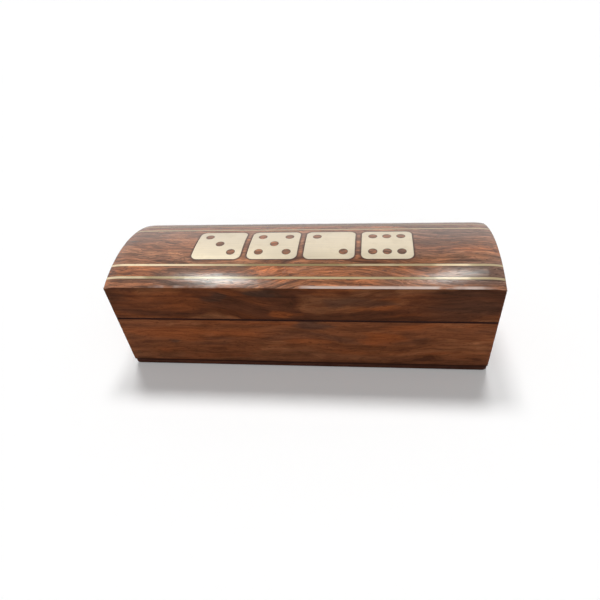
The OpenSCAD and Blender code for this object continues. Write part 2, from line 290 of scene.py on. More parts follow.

# Stretches of the lines dulled with the tarnish colour as painted dark reflection, written like the boards'
# clouds
DARK_REFLECTION_STRETCHES = [
    ((2, -13, 45), (54, 2.5, 4), 0.6), ((-2, -13, 45), (30, 2.5, 4), 0.97),
    ((71, -13, 45), (8, 2.5, 4), 0.6), ((44, -13, 45), (10, 2.5, 4), 0.7),
    ((-4, -19.4, 43.5), (74, 2.5, 4), 0.7), ((44, -19.4, 43.5), (9, 2.5, 4), 0.85),
    ((24, -19.4, 43.5), (28, 2.5, 4), 0.75), ((-50, -19.4, 43.5), (14, 2.5, 4), 0.85),
    ((-19, -19.4, 43.5), (11, 2.5, 4), 0.85), ((72, -19.4, 43.5), (8, 2.5, 4), 0.75),
    ((0, 19, 44), (90, 2, 4), 0.75), ((0, 13.2, 45), (90, 2, 4), 0.35),
]

# Textures: their cells per metre, along and across the grain, and spans of their values, which lie
# round 0.5. A span runs from where an effect starts to where it is full
SPREAD = (0.3, 0.7)
BENDS = (((24, 60, 60), (0.0, 0.009, 0.009)), ((110, 260, 260), (0.0, 0.0014, 0.0014)))
STREAK_CELLS = (46, 520, 520)
FIBRE_CELLS = (90, 1900, 1900)
FIBRE_SPREAD = (0.34, 0.66)
PORES_ACROSS = 2400
PORE_SPAN = (0.61, 0.70)
LIGHT_SPAN = (0.48, 0.66)
VEIN_SPAN = (0.45, 0.33)
VEIN_STRENGTH = 0.75
DRIFT_CELLS, DRIFT_SHIFT = (20, 150, 150), (3.1, 0, 0)
SMOKE_SPAN, EMBER_SPAN, DRIFT_STRENGTH = (0.54, 0.74), (0.46, 0.28), 0.5
RAGGED_CELLS, RAGGED_REACH = (60, 240, 240), (0.03, 0.006, 0.006)
CLOUD_EDGE = (1.2, 0.5)

# Depth of the streaks and the fibres in the colour, and the share of the pores' own colour
Contrast = namedtuple("Contrast", "streaks fibres pores")
GLOSSY_CONTRAST = Contrast(0.50, 0.42, 0.75)
SATIN_CONTRAST = Contrast(0.24, 0.16, 0.4)
PORE_SHADE = 0.45

# Surface of the wood: how much rougher it is below the lacquer, from patch to patch and in the pores,
# its sheen, and its relief in metres, in which a fibre stands half as high as a streak or a pore
BELOW_LACQUER = 0.14
PATCH_CELLS, PATCH_ROUGHNESS = (60, 130, 130), (-0.05, 0.06)
PORE_ROUGHNESS = 0.12
WOOD_SHEEN = 0.05
FIBRE_HEIGHT = 0.5
WOOD_RELIEF = 0.00002

# Joint lines, with painted shade in the seam between tray and lid: depths below the box's faces, and
# distances from the joint, between which they fade
JOINT_SKIN = (-0.0008, -0.0004)
JOINT_REACH = (0.00060, 0.00034)

# Darker wood round the tiles: its reach, and the share of it that is darkest
DARK_RIM_REACH = 0.0011
DARK_RIM_CORE = 0.3
DARK_RIM_STRENGTH = 0.75
DARK_RIM_TINT = (2.0, 2.4, 2.4)

# Rubbed edges of the dome, paler from wear and from a painted highlight: distances from its front and back
# faces, patches, and the stretch along X that is worn and carries the painted highlight more than the rest
RUB_AND_HIGHLIGHT_WIDTH = (0.0014, 0.0008)
RUB_AND_HIGHLIGHT_CELLS, RUB_AND_HIGHLIGHT_SHIFT = (60, 20, 20), (0.4, 0, 0)
WORN_AND_LIT_FROM, WORN_AND_LIT_TO = (-0.005, 0.009), (0.078, 0.066)
WORN_AND_LIT_MORE = 0.22
RUB_AND_HIGHLIGHT_SPAN = (0.50, 0.70)

# Brass: marks of the file or the die, mottled tarnish, soft shades, and the relief of the marks
INLAY_MARKS = (60, 5200, 5200)
LEAF_MARKS, PIN_MARKS, SCREW_MARKS = (900, 300, 300), (150, 2600, 2600), (1800, 1800, 600)
LEAF_ROUGHNESS, PIN_ROUGHNESS, SCREW_ROUGHNESS = 0.3, 0.28, 0.26
LEAF_TARNISH, PIN_TARNISH, SCREW_TARNISH = 0.45, 0.3, 0.35
LINE_TARNISH, TILE_TARNISH = 0.25, 0.12
LINE_ROUGHER = 0.17
MARK_SHADES, MARK_ROUGHNESS = (0.94, 1.04), (0.0, 0.05)
MOTTLE_CELLS, MOTTLE_ROUGHNESS = (230, 230, 230), (-0.04, 0.07)
SOFT_CELLS, SOFT_SHADES = (45, 60, 60), (0.95, 1.04)
TARNISH_SPAN = (0.50, 0.74)
# Scatter of the stretches of painted dark reflection
DARK_REFLECTION_CELLS, DARK_REFLECTION_REACH = (90, 90, 90), (0.02, 0.0, 0.0)
BRASS_RELIEF = 0.000006

# Glue: grains of pale dust in it
GRAIN_CELLS, GRAIN_SPAN = (4200, 4200, 4200), (0.35, 0.75)
GRAIN_TINT = (2.4, 2.4, 2.4)
GLUE_ROUGHNESS = (0.42, 0.62)
GLUE_RELIEF = 0.00002

# Faces whose normals rise less than this are upright
UPRIGHT = 0.5

# How near the dome a point counts as on it, and how well its normal has to agree with its facet's
ON_DOME = 0.00001
FACET_AGREES = 0.998

# Places of the glue's points: steps along the roll at a line's ends, and degrees round their easing
ROLL_STEPS = 8
EASING_ANGLES = (0, 20, 40, 60, 75)

# Soft suns: directions towards them and spread in degrees
KEY_DIRECTIONS = {"key_left": (-0.2, 0.46, 1.0), "key_right": (0.08, 0.46, 1.0)}
KEY_SPREAD = 13
FILL_DIRECTION = (0.3, -1.0, 0.8)
FILL_SPREAD = 60

# Lamps that show only in gloss: direction towards each, point that it lights, size, share of its level
Glint = namedtuple("Glint", "name towards target size share")
GLINTS = (
    Glint("glint_left", (-0.312, 0.285, 0.907), (-0.0300, -0.0204, 0.0435), (0.07, 0.10), 2.15),
    Glint("glint_right", (0.167, 0.355, 0.920), (0.0564, -0.0186, 0.0441), (0.05, 0.14), 1.4),
)
EDGE_GLINT = Glint("glint_edge", (0.09, -0.47, 0.88), (0.03, -0.024, 0.0422), (0.24, 0.16), 1.0)
GLINT_COLOUR = (0.95, 1.0, 0.96)
GLINT_DISTANCE = 0.6

# The room in gloss, by the direction seen: Z for the bands one above the other, and X along the belt
WALL_FOOT = (0.0, 0.35)
BELT_START = (0.62, 0.80)
CEILING_START = (0.86, 0.94)
BELT_MIDDLE = 0.03
BELT_SIDES = (0.06, 0.3)

# Half the floor's side, the camera's sensor in millimetres, and its nearest and farthest view
FLOOR_REACH = 4.0
SENSOR_WIDTH = 36
CLIPS = (0.01, 20)


# Material making

class Nodes:
    """The node tree of a material or a world, with a short call for each kind of node"""

    def __init__(self, owner):
        owner.use_nodes = True
        self.tree = owner.node_tree
        self.tree.nodes.clear()

    def node(self, kind, inputs=None, **settings):
        made = self.tree.nodes.new("ShaderNode" + kind)
        for name, value in settings.items():
            setattr(made, name, value)
        for name, value in (inputs or {}).items():
            if isinstance(value, bpy.types.NodeSocket):
                self.tree.links.new(value, made.inputs[name])
            else:
                made.inputs[name].default_value = value
        return made

    def math(self, operation, a, b=0.0):
        return self.node("Math", {0: a, 1: b}, operation=operation).outputs[0]

    def vector(self, operation, a, b):
        return self.node("VectorMath", {0: a, 1: b}, operation=operation).outputs[0]

    def length(self, a):
        return self.node("VectorMath", {0: a}, operation="LENGTH").outputs["Value"]

    def stretched(self, where, scale, shift=(0, 0, 0)):
        return self.node("Mapping", {"Vector": where, "Scale": scale, "Location": shift}).outputs[0]

    def noise(self, where, detail=3.0, roughness=0.6):
        """Values spread round 0.5, in cells of about 1 unit"""
        return self.node(
            "TexNoise", {"Vector": where, "Scale": 1.0, "Detail": detail, "Roughness": roughness}
        ).outputs[0]

    def between(self, value, low, high, first=0.0, last=1.0):
        """Runs smoothly from first, at low, to last, at high"""
        return self.node(
            "MapRange", {0: value, 1: low, 2: high, 3: first, 4: last},
            interpolation_type="SMOOTHSTEP").outputs[0]

    def mix(self, share, a, b, blend="MIX"):
        return self.node(
            "Mix", {0: share, 6: a, 7: b}, data_type="RGBA", blend_type=blend, clamp_factor=True
        ).outputs[2]

    def grey(self, value):
        return self.node("CombineColor", {0: value, 1: value, 2: value}).outputs[0]


class Finish(Nodes):
    """The node tree of one material"""

    def __init__(self, name):
        self.material = bpy.data.materials.new(name)
        super().__init__(self.material)
        self.place = self.node("TexCoord").outputs["Object"]

    def surface(self, inputs, height, depth):
        """Ends the tree in a shader whose surface is dented by height, in units of depth"""
        bump = self.node("Bump", {"Height": height, "Distance": depth, "Strength": 1.0}).outputs[0]
        shader = self.node("BsdfPrincipled", {**inputs, "Normal": bump, "Coat Normal": bump})
        self.node("OutputMaterial", {"Surface": shader.outputs[0]})
        return self.material


def opaque(colour, tint=(1.0, 1.0, 1.0)):
    return (*[min(1.0, c * t) for c, t in zip(colour, tint)], 1.0)


def cloud(finish, where, patch):
    """A soft-edged patch of figure"""
    middle, half, strength = patch
    off = finish.vector("SUBTRACT", where, Vector(middle) * MM)
    far = finish.length(finish.vector("DIVIDE", off, Vector(half) * MM))
    return finish.between(far, *CLOUD_EDGE, 0.0, strength)


def scatter(finish, where, cells, reach, detail=3.0):
    """Moves each place by up to about half of reach, in cells of the given counts per metre"""
    waves = finish.node(
        "TexNoise", {"Vector": finish.stretched(where, cells), "Scale": 1.0, "Detail": detail}
    ).outputs["Color"]
    moves = finish.vector("MULTIPLY", finish.vector("SUBTRACT", waves, (0.5, 0.5, 0.5)), reach)
    return finish.vector("ADD", where, moves)


def joint_lines_and_seam_shade(finish, joints):
    """1 in the joints between boards, at the outer faces of the box, and as painted shade in the lid's seam
    """
    low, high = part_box("base_plate")
    at = finish.node("SeparateXYZ", {0: finish.place}).outputs
    out_x = finish.math("SUBTRACT", finish.math("ABSOLUTE", at["X"]), high.x)
    out_y = finish.math("SUBTRACT", finish.math("ABSOLUTE", at["Y"]), high.y)
    outer = finish.between(finish.math("MAXIMUM", out_x, out_y), *JOINT_SKIN)
    lines = 0.0
    for height, strength in joints:
        away = finish.math("ABSOLUTE", finish.math("SUBTRACT", at["Z"], height * MM))
        lines = finish.math("MAXIMUM", lines, finish.between(away, *JOINT_REACH, 0.0, strength))
    return finish.math("MULTIPLY", outer, lines)


def swept(finish, where, sweeps):
    """Lets the grain cross from one line to another over a stretch of the board"""
    at_x = finish.node("SeparateXYZ", {0: finish.place}).outputs["X"]
    for start, end, move in sweeps:
        part = finish.between(at_x, start * MM, end * MM)
        triple = finish.node("CombineXYZ", {0: part, 1: part, 2: part}).outputs[0]
        where = finish.vector("ADD", where, finish.vector("MULTIPLY", triple, Vector(move) * MM))
    return where


def dark_rim_round_tiles(finish, corner):
    """1 at the edges of tiles with such corners, falling to 0 beside them"""
    low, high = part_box("tile_three")
    other_low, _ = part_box("tile_five")
    pitch, side = other_low.x - low.x, high.x - low.x
    at = finish.node("SeparateXYZ", {0: finish.place}).outputs
    off_x = finish.math("PINGPONG", finish.math("SUBTRACT", at["X"], (low.x + high.x) / 2), pitch / 2)
    off_y = finish.math("ABSOLUTE", at["Y"])
    inner = side / 2 - corner
    past_x = finish.math("MAXIMUM", finish.math("SUBTRACT", off_x, inner), 0.0)
    past_y = finish.math("MAXIMUM", finish.math("SUBTRACT", off_y, inner), 0.0)
    past = finish.node("CombineXYZ", {0: past_x, 1: past_y, 2: 0.0}).outputs[0]
    outside = finish.math("SUBTRACT", finish.length(past), corner)
    within = finish.math("LESS_THAN", finish.math("ABSOLUTE", at["X"]), 2 * pitch)
    near = finish.between(finish.math("ABSOLUTE", outside), DARK_RIM_REACH, DARK_RIM_REACH * DARK_RIM_CORE)
    return finish.math("MULTIPLY", near, within)


def rubbed_edge_and_highlight(finish):
    """1 where the dome's front and back edges are rubbed pale, with a painted highlight, in patches and most
    along the worn stretch
    """
    _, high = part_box("domed_top")
    at = finish.node("SeparateXYZ", {0: finish.place}).outputs
    near = finish.between(finish.math("ABSOLUTE", at["Y"]), *[high.y - width for width in RUB_AND_HIGHLIGHT_WIDTH])
    worn = finish.noise(finish.stretched(finish.place, RUB_AND_HIGHLIGHT_CELLS, RUB_AND_HIGHLIGHT_SHIFT))
    strong = finish.math("MULTIPLY", finish.between(at["X"], *WORN_AND_LIT_FROM),
                         finish.between(at["X"], *WORN_AND_LIT_TO))
    more = finish.math("MULTIPLY", strong, WORN_AND_LIT_MORE)
    rubbed_and_highlight = finish.between(finish.math("ADD", worn, more), *RUB_AND_HIGHLIGHT_SPAN)
    return finish.math("MULTIPLY", near, rubbed_and_highlight)


def rosewood(name, board, wood, glossy):
    """Veined wood with pores and clouds of figure, in the dome's glossy lacquer or the thin satin one"""
    f = Finish(name)
    tint = board.tint
    along = f.node("Mapping", {
        "Vector": swept(f, f.place, board.sweeps), "Rotation": board.grain, "Location": board.shift
    }).outputs[0]
    bent = along
    for cells, reach in BENDS:
        bent = scatter(f, bent, cells, reach)

    # Growth rings round the log's heart, finer streaks and fibres along the grain, and open pores
    heart = Vector(board.shift) + Vector(board.heart)
    radius = f.length(f.vector("MULTIPLY", f.vector("SUBTRACT", bent, heart), (0.0, 1.0, 1.0)))
    rings = f.node(
        "TexNoise", {"W": f.math("DIVIDE", radius, wood.ring_width), "Scale": 1.0, "Detail": 4.0,
                     "Roughness": 0.62}, noise_dimensions="1D").outputs[0]
    streaks = f.noise(f.stretched(bent, STREAK_CELLS))
    fibres = f.noise(f.stretched(bent, FIBRE_CELLS))
    pore_cells = f.noise(f.stretched(bent, (1 / wood.pore_length, PORES_ACROSS, PORES_ACROSS)), 1.0, 0.5)
    pores = f.between(pore_cells, *PORE_SPAN)

    # Colour: bands between veins, streaks, clouds of figure, then fibres and pores
    bands = f.mix(f.between(rings, *LIGHT_SPAN), opaque(wood.middle, tint), opaque(wood.light, tint))
    veins = f.math("MULTIPLY", f.between(rings, *VEIN_SPAN), VEIN_STRENGTH)
    veined = f.mix(veins, bands, opaque(wood.dark, tint))
    drift = f.noise(f.stretched(along, DRIFT_CELLS, DRIFT_SHIFT), 3.0, 0.55)
    smoke = f.between(drift, *SMOKE_SPAN, 0.0, DRIFT_STRENGTH)
    ember = f.between(drift, *EMBER_SPAN, 0.0, DRIFT_STRENGTH)
    ragged = scatter(f, f.place, RAGGED_CELLS, RAGGED_REACH, 4.0)
    for patch in board.smokes:
        smoke = f.math("MAXIMUM", smoke, cloud(f, ragged, patch))
    for patch in board.embers:
        ember = f.math("MAXIMUM", ember, cloud(f, ragged, patch))
    figured = f.mix(ember, veined, opaque(wood.ember, tint))
    figured = f.mix(smoke, figured, opaque(wood.smoke, tint))
    contrast = GLOSSY_CONTRAST if glossy else SATIN_CONTRAST
    shade = f.math(
        "MULTIPLY", f.between(streaks, *SPREAD, 1 - contrast.streaks, 1 + contrast.streaks),
        f.between(fibres, *FIBRE_SPREAD, 1 - contrast.fibres, 1 + contrast.fibres))
    shaded = f.mix(1.0, figured, f.grey(shade), "MULTIPLY")
    colour = f.mix(f.math("MULTIPLY", pores, contrast.pores), shaded,
                   opaque(wood.dark, Vector(tint) * PORE_SHADE))
    # Dark joint lines, the seam between tray and lid also darkened as painted shade
    if board.joints:
        colour = f.mix(joint_lines_and_seam_shade(f, board.joints), colour, opaque(wood.grime_and_shade))

    # The dome's lacquer is thick and glossy, with darker wood round the tiles, and rubbed edges with a
    # painted highlight
    if glossy:
        corner = bpy.context.scene.dicebox_glue.tile_corner
        dark_rim = f.math("MULTIPLY", dark_rim_round_tiles(f, corner), DARK_RIM_STRENGTH)
        colour = f.mix(dark_rim, colour, opaque(wood.grime_and_shade, DARK_RIM_TINT))
        # Rubbed edges, lightened partly as wear and partly as a painted highlight
        colour = f.mix(rubbed_edge_and_highlight(f), colour, opaque(wood.rubbed_and_highlight))
    patchy = f.noise(f.stretched(f.place, PATCH_CELLS))
    base = wood.gloss + BELOW_LACQUER if glossy else wood.satin
    rough = f.math("ADD", f.between(patchy, *SPREAD, *[base + more for more in PATCH_ROUGHNESS]),
                   f.math("MULTIPLY", pores, PORE_ROUGHNESS))
    height = f.math("SUBTRACT", f.math("MULTIPLY", fibres, FIBRE_HEIGHT), pores)
    height = f.math("ADD", height, streaks)
    inputs = {"Base Color": colour, "Roughness": rough, "Specular IOR Level": WOOD_SHEEN}
    if glossy:
        inputs.update({"Coat Weight": 1.0, "Coat Roughness": wood.gloss})
    return f.surface(inputs, height, WOOD_RELIEF)


def filed_brass(name, colour, tarnish_and_dark_reflection, roughness, file_marks, tarnished, lacquer=0.0, dark_reflections=()):
    """Brass with fine marks, tarnish and stretches of painted dark reflection, and a lacquer where its
    roughness is given
    """
    f = Finish(name)
    marks = f.noise(f.stretched(f.place, file_marks), 2.0)
    mottle = f.noise(f.stretched(f.place, MOTTLE_CELLS), 4.0)
    soft = f.noise(f.stretched(f.place, SOFT_CELLS), 2.0, 0.5)
    dull = f.math("MULTIPLY", f.between(mottle, *TARNISH_SPAN), tarnished)
    # Stretches of painted dark reflection, over the mottled tarnish
    if dark_reflections:
        ragged = scatter(f, f.place, DARK_REFLECTION_CELLS, DARK_REFLECTION_REACH)
        for stretch in dark_reflections:
            dull = f.math("MAXIMUM", dull, cloud(f, ragged, stretch))
    metal = f.mix(dull, opaque(colour), opaque(tarnish_and_dark_reflection))
    level = f.math("MULTIPLY", f.between(marks, *SPREAD, *MARK_SHADES),
                   f.between(soft, *SPREAD, *SOFT_SHADES))
    shaded = f.mix(1.0, metal, f.grey(level), "MULTIPLY")
    rough = f.math("ADD", f.between(mottle, *SPREAD, *[roughness + more for more in MOTTLE_ROUGHNESS]),
                   f.between(marks, *SPREAD, *MARK_ROUGHNESS))
    inputs = {"Base Color": shaded, "Roughness": rough, "Metallic": 1.0}
    if lacquer:
        inputs.update({"Coat Weight": 1.0, "Coat Roughness": lacquer})
    return f.surface(inputs, marks, BRASS_RELIEF)


def dusty_glue(name, glue):
    """Dried glue with sanding dust in it"""
    f = Finish(name)
    grains = f.noise(f.stretched(f.place, GRAIN_CELLS))
    colour = f.mix(f.between(grains, *GRAIN_SPAN), opaque(glue.colour), opaque(glue.colour, GRAIN_TINT))
    rough = f.between(grains, *SPREAD, *GLUE_ROUGHNESS)
    return f.surface({"Base Color": colour, "Roughness": rough}, grains, GLUE_RELIEF)


def wear(node, material, sides=None):
    """Gives a node of the model its material, and its upright faces another one if sides is given"""
    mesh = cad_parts[node].data
    mesh.materials.clear()
    mesh.materials.append(material)
    if sides:
        mesh.materials.append(sides)
        for face in mesh.polygons:
            face.material_index = int(face.normal.z < UPRIGHT)


def wear_satin(nodes, wood):
    """Gives each of the boards its own satin rosewood"""
    for node in nodes:
        wear(node, rosewood(node + "_wood", BOARDS[node], wood, False))


# The dome's surface, and the glue in the gaps round the inlay

class Dome:
    """The surface of the domed top, which rolls down at its two ends to eased edges"""

    def __init__(self, curve):
        _, self.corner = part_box("domed_top")
        self.radius = (self.corner.y ** 2 + curve.rise ** 2) / (2 * curve.rise)
        self.easing = curve.easing
        self.roll = curve.roll_radius
        self.rolled = curve.roll_length

    def drop(self, x):
        """How far the surface lies below the dome's full radius at x"""
        past = max(0.0, abs(x) - (self.corner.x - self.rolled))
        centre = self.rolled - self.easing
        inner = self.roll - self.easing
        if past <= centre * self.roll / inner:
            return self.roll - math.sqrt(self.roll ** 2 - past ** 2)
        left = max(0.0, self.easing ** 2 - (past - centre) ** 2)
        return self.roll - math.sqrt(inner ** 2 - centre ** 2) - math.sqrt(left)

    def point(self, x, y, sink):
        """The point of the surface over x and y, pushed in by sink"""
        arm = Vector((0, y, math.sqrt((self.radius - self.drop(x)) ** 2 - y ** 2)))
        axis = Vector((x, 0, self.corner.z - self.radius))
        return axis + arm - arm.normalized() * sink

    def normal(self, place):
        """The surface's normal at a point of it, or None where the point isn't on it"""
        arm = Vector((0, place.y, place.z - self.corner.z + self.radius))
        if abs(arm.length - self.radius + self.drop(place.x)) > ON_DOME:
            return None
        past = max(0.0, abs(place.x) - (self.corner.x - self.rolled))
        tilt = min(1.0, past / self.roll)
        return arm.normalized() * math.sqrt(1 - tilt ** 2) + Vector((math.copysign(tilt, place.x), 0, 0))

    def shade(self, node):
        """Shades the facets of a node's domed face as the true curve, and moves no vertex"""
        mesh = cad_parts[node].data
        normals = [corner.vector.copy() for corner in mesh.corner_normals]
        for face in mesh.polygons:
            for loop in face.loop_indices:
                curved = self.normal(mesh.vertices[mesh.loops[loop].vertex_index].co)
                if curved is not None and curved.dot(face.normal) > FACET_AGREES:
                    normals[loop] = curved
        mesh.normals_split_custom_set(normals)


def rounded_square(side, corner, steps=10):
    """Points round a square with rounded corners"""
    points = []
    for quarter in range(4):
        for step in range(steps + 1):
            angle = math.radians(90 * (quarter + step / steps))
            middle = side / 2 - corner
            sx, sy = ((1, 1), (-1, 1), (-1, -1), (1, -1))[quarter]
            points.append((sx * middle + corner * math.cos(angle), sy * middle + corner * math.sin(angle)))
    return points


def circle(radius, steps=40):
    """Points round a circle"""
    turns = [2 * math.pi * step / steps for step in range(steps)]
    return [(radius * math.cos(turn), radius * math.sin(turn)) for turn in turns]


def add_band(bm, dome, inner, outer, glue, closed):
    """A band of glue between two rows of points on the dome"""
    rings = []
    for (ax, ay), (bx, by) in zip(inner, outer):
        corners = ((ax, ay, 0), (bx, by, 0), (bx, by, glue.depth), (ax, ay, glue.depth))
        rings.append([bm.verts.new(dome.point(x, y, glue.sink + deep)) for x, y, deep in corners])
    pairs = list(zip(rings, rings[1:])) + ([(rings[-1], rings[0])] if closed else [])
    for a, b in pairs:
        for i in range(len(a)):
            bm.faces.new((a[i], a[i - 1], b[i - 1], b[i]))
    if not closed:
        bm.faces.new(rings[0])
        bm.faces.new(rings[-1][::-1])


def add_glue(name, bm, material):
    """Makes the piece from its mesh and lets it ride on the lid"""
    bmesh.ops.recalc_face_normals(bm, faces=bm.faces)
    mesh = bpy.data.meshes.new(name)
    bm.to_mesh(mesh)
    bm.free()
    mesh.materials.append(material)
    piece = bpy.data.objects.new(name, mesh)
    bpy.context.scene.collection.objects.link(piece)
    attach(piece, "lid")


# Operators

class DICEBOX_OT_tray_boards(bpy.types.Operator):
    """Finish the four walls of the tray in satin rosewood"""

    bl_idname = "dicebox.tray_boards"
    bl_label = "Tray walls"

    def execute(self, context):
        wear_satin(TRAY_BOARDS, context.scene.dicebox_wood)
        return {"FINISHED"}


class DICEBOX_OT_base_board(bpy.types.Operator):
    """Finish the base plate in darker rosewood"""

    bl_idname = "dicebox.base_board"
    bl_label = "Base plate"

    def execute(self, context):
        wear_satin(["base_plate"], context.scene.dicebox_wood)
        return {"FINISHED"}


class DICEBOX_OT_lid_boards(bpy.types.Operator):
    """Finish the four sides of the lid in satin rosewood"""

    bl_idname = "dicebox.lid_boards"
    bl_label = "Lid sides"

    def execute(self, context):
        wear_satin(LID_BOARDS, context.scene.dicebox_wood)
        return {"FINISHED"}


class DICEBOX_OT_domed_top(bpy.types.Operator):
    """Finish the domed top in glossy rosewood, and its upright faces like the lid's sides"""

    bl_idname = "dicebox.domed_top"
    bl_label = "Domed top"

    def execute(self, context):
        wood = context.scene.dicebox_wood
        wear("domed_top", rosewood("dome_wood", BOARDS["domed_top"], wood, True),
             rosewood("dome_side_wood", BOARDS["lid_front_rail"], wood, False))
        Dome(context.scene.dicebox_dome).shade("domed_top")
        return {"FINISHED"}


class DICEBOX_OT_brass_lines(bpy.types.Operator):
    """Finish the four brass lines"""

    bl_idname = "dicebox.brass_lines"
    bl_label = "Brass lines"

    def execute(self, context):
        brass = context.scene.dicebox_brass
        material = filed_brass(
            "line_brass", brass.line, brass.tarnish_and_dark_reflection, brass.roughness + LINE_ROUGHER, INLAY_MARKS,
            LINE_TARNISH, context.scene.dicebox_wood.gloss, DARK_REFLECTION_STRETCHES)
        dome = Dome(context.scene.dicebox_dome)
        for node in LINES:
            wear(node, material)
            dome.shade(node)
        return {"FINISHED"}


class DICEBOX_OT_tiles(bpy.types.Operator):
    """Finish the four die-face tiles"""

    bl_idname = "dicebox.tiles"
    bl_label = "Die-face tiles"

    def execute(self, context):
        brass = context.scene.dicebox_brass
        material = filed_brass(
            "tile_brass", brass.tile, brass.tarnish_and_dark_reflection, brass.roughness, INLAY_MARKS, TILE_TARNISH,
            context.scene.dicebox_wood.gloss)
        dome = Dome(context.scene.dicebox_dome)
        for node in TILE_PIPS:
            wear(node, material)
            dome.shade(node)
        return {"FINISHED"}


class DICEBOX_OT_hinges(bpy.types.Operator):
    """Finish the hinge leaves, their pins and their screws"""

    bl_idname = "dicebox.hinges"
    bl_label = "Hinges"

    def execute(self, context):
        brass = context.scene.dicebox_brass
        tarnish_and_dark_reflection = brass.tarnish_and_dark_reflection
        leaf = filed_brass("hinge_brass", brass.hinge, tarnish_and_dark_reflection, LEAF_ROUGHNESS, LEAF_MARKS, LEAF_TARNISH)
        pin = filed_brass("pin_brass", brass.pin, tarnish_and_dark_reflection, PIN_ROUGHNESS, PIN_MARKS, PIN_TARNISH)
        screw = filed_brass("screw_brass", brass.screw, tarnish_and_dark_reflection, SCREW_ROUGHNESS, SCREW_MARKS, SCREW_TARNISH)
        for side in ("left", "right"):
            wear(side + "_hinge_tray_leaf", leaf)
            wear(side + "_hinge_lid_leaf", leaf)
            wear(side + "_hinge_pin", pin)
        for node in ("tray_leaf_screws", "lid_leaf_screws"):
            wear(node, screw)
        return {"FINISHED"}


class DICEBOX_OT_glue(bpy.types.Operator):
    """Fill the gaps round the tiles, their pips and the lines with dark glue"""

    bl_idname = "dicebox.glue"
    bl_label = "Glue lines"

    def execute(self, context):
        glue = context.scene.dicebox_glue
        curve = context.scene.dicebox_dome
        material = dusty_glue("inlay_glue", glue)
        dome = Dome(curve)

        round_tiles = bmesh.new()
        for node, pips in TILE_PIPS.items():
            low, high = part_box(node)
            middle, side = (low + high) / 2, high.x - low.x
            tile = rounded_square(side, glue.tile_corner)
            pocket = rounded_square(side + 2 * glue.tile_gap, glue.tile_corner + glue.tile_gap)
            shapes = [(tile, pocket, (0, 0))]
            for pip in pips:
                hole = circle(glue.pip_diameter / 2)
                peg = circle(glue.pip_diameter / 2 - glue.tile_gap)
                shapes.append((peg, hole, (pip[0] * glue.pip_pitch, pip[1] * glue.pip_pitch)))
            for inner, outer, (px, py) in shapes:
                x, y = middle.x + px, middle.y + py
                add_band(round_tiles, dome, [(x + u, y + v) for u, v in inner],
                         [(x + u, y + v) for u, v in outer], glue, True)
        add_glue("tile_glue", round_tiles, material)

        beside_lines = bmesh.new()
        for node in LINES:
            low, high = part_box(node)
            rolls = [high.x - curve.roll_length * (1 - step / ROLL_STEPS) for step in range(ROLL_STEPS)]
            ends = [high.x - curve.easing * (1 - math.sin(math.radians(angle))) for angle in EASING_ANGLES]
            xs = [-x for x in reversed(rolls + ends)] + rolls + ends
            for edge, away in ((low.y, -1), (high.y, 1)):
                add_band(beside_lines, dome, [(x, edge) for x in xs],
                         [(x, edge + away * glue.line_gap) for x in xs], glue, False)
        add_glue("line_glue", beside_lines, material)
        return {"FINISHED"}


